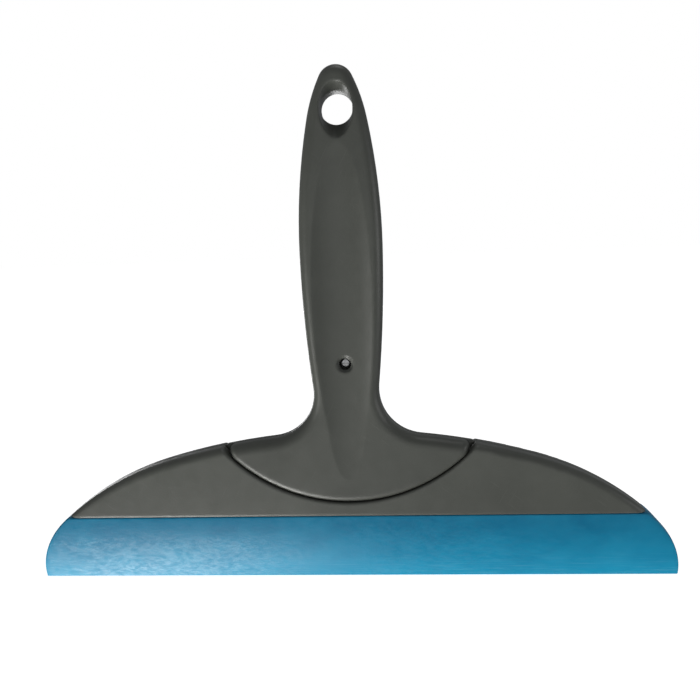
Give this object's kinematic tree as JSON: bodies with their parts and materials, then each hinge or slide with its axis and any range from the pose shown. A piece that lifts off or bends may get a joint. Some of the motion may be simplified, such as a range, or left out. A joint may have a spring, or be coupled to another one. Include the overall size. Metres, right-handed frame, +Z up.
{
  "type": "window cleaning squeegee",
  "caption": "Hand squeegee with a half-moon head, a wedge-shaped silicone blade and an upright handle with a finger scoop and hanging hole, for wiping water off glass.",
  "frame": {"origin": "middle of the wiping edge: the centre of the base of the whole object's box", "axes": "+X along the blade, to the right as seen from the front; +Y from the front to the rear, along the hanging hole; +Z up the handle"},
  "size_m": [0.2728, 0.018, 0.2132],
  "materials": {
    "grey_plastic": "fine moulded texture, slightly satin",
    "core_plastic": "plain moulded",
    "blue_silicone": "smooth glossy silicone rubber",
    "screw_steel": "zinc-plated steel"
  },
  "bodies": {
    "holder": {"handle_front_shell": "grey_plastic", "handle_rear_shell": "grey_plastic", "head_front_cover": "grey_plastic", "head_rear_cover": "grey_plastic", "head_core_plate": "core_plastic", "blade_root": "blue_silicone", "cover_screws": "screw_steel", "yoke_screws": "screw_steel", "neck_screw": "screw_steel"},
    "lip": {"blade_lip": "blue_silicone"}
  },
  "joints": [
    {"name": "blade_flex", "type": "hinge", "parent": "holder", "child": "lip", "pos_m": [0, 0, 0.023], "axis": [1, 0, 0], "range_deg": [-25, 25], "stiffness_Nm_per_rad": 0.4}
  ]
}
